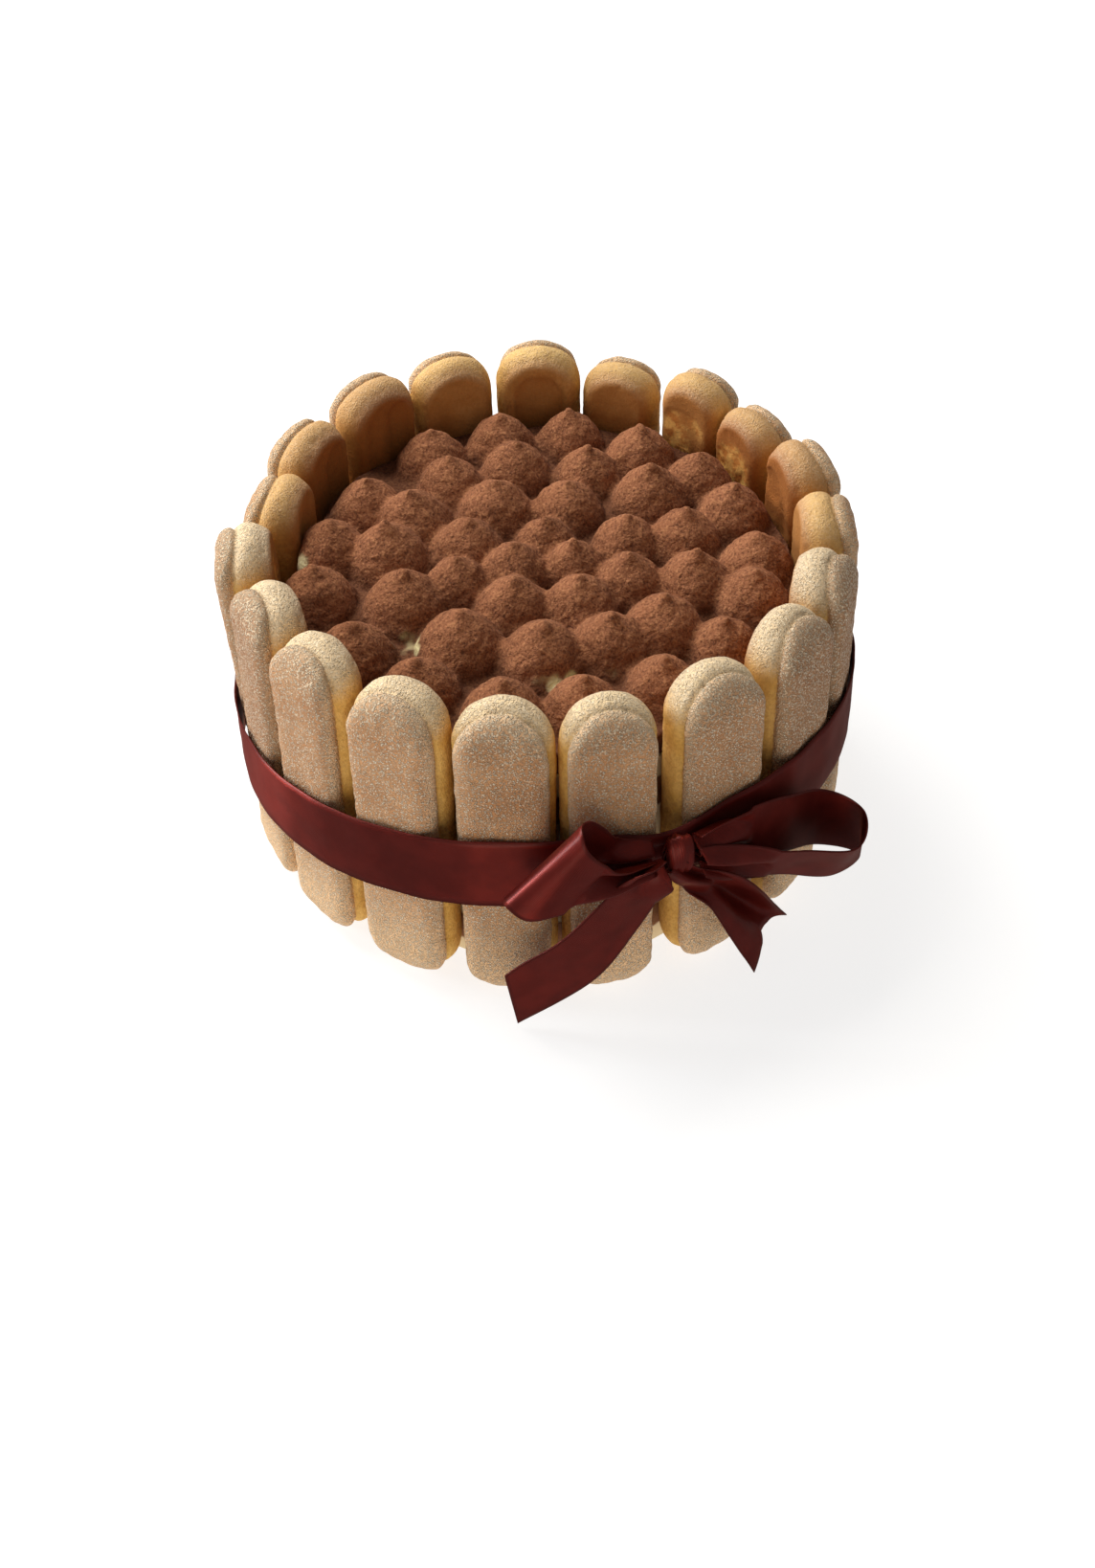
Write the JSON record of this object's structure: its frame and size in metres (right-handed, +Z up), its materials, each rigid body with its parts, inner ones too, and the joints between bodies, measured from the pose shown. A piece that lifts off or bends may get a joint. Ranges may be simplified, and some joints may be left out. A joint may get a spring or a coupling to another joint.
{
  "type": "round tiramisu cake",
  "caption": "Round tiramisu cake ringed by upright sponge fingers, topped with cocoa-dusted piped cream and tied with a satin ribbon bow.",
  "frame": {"origin": "middle of the cake's foot, on the surface it stands on", "axes": "+Z up the cake's axis; the bow faces -Y, a little to the +X side"},
  "size_m": [0.1901, 0.2065, 0.1099],
  "materials": {
    "sponge_finger": "baked golden sponge with a sugared face",
    "filling": "soft cream and soaked sponge",
    "cocoa_cream": "cream under a dry cocoa dusting",
    "satin_ribbon": "satin weave with a soft sheen"
  },
  "bodies": {
    "root": {"finger_01": "sponge_finger", "finger_02": "sponge_finger", "finger_03": "sponge_finger", "finger_04": "sponge_finger", "finger_05": "sponge_finger", "finger_06": "sponge_finger", "finger_07": "sponge_finger", "finger_08": "sponge_finger", "finger_09": "sponge_finger", "finger_10": "sponge_finger", "finger_11": "sponge_finger", "finger_12": "sponge_finger", "finger_13": "sponge_finger", "finger_14": "sponge_finger", "finger_15": "sponge_finger", "finger_16": "sponge_finger", "finger_17": "sponge_finger", "finger_18": "sponge_finger", "finger_19": "sponge_finger", "cake_body": "filling", "piped_cream": "cocoa_cream", "ribbon_band": "satin_ribbon", "bow_knot": "satin_ribbon", "bow_loop_right": "satin_ribbon", "bow_loop_left": "satin_ribbon", "bow_tail_right": "satin_ribbon", "bow_tail_left": "satin_ribbon"}
  },
  "joints": []
}
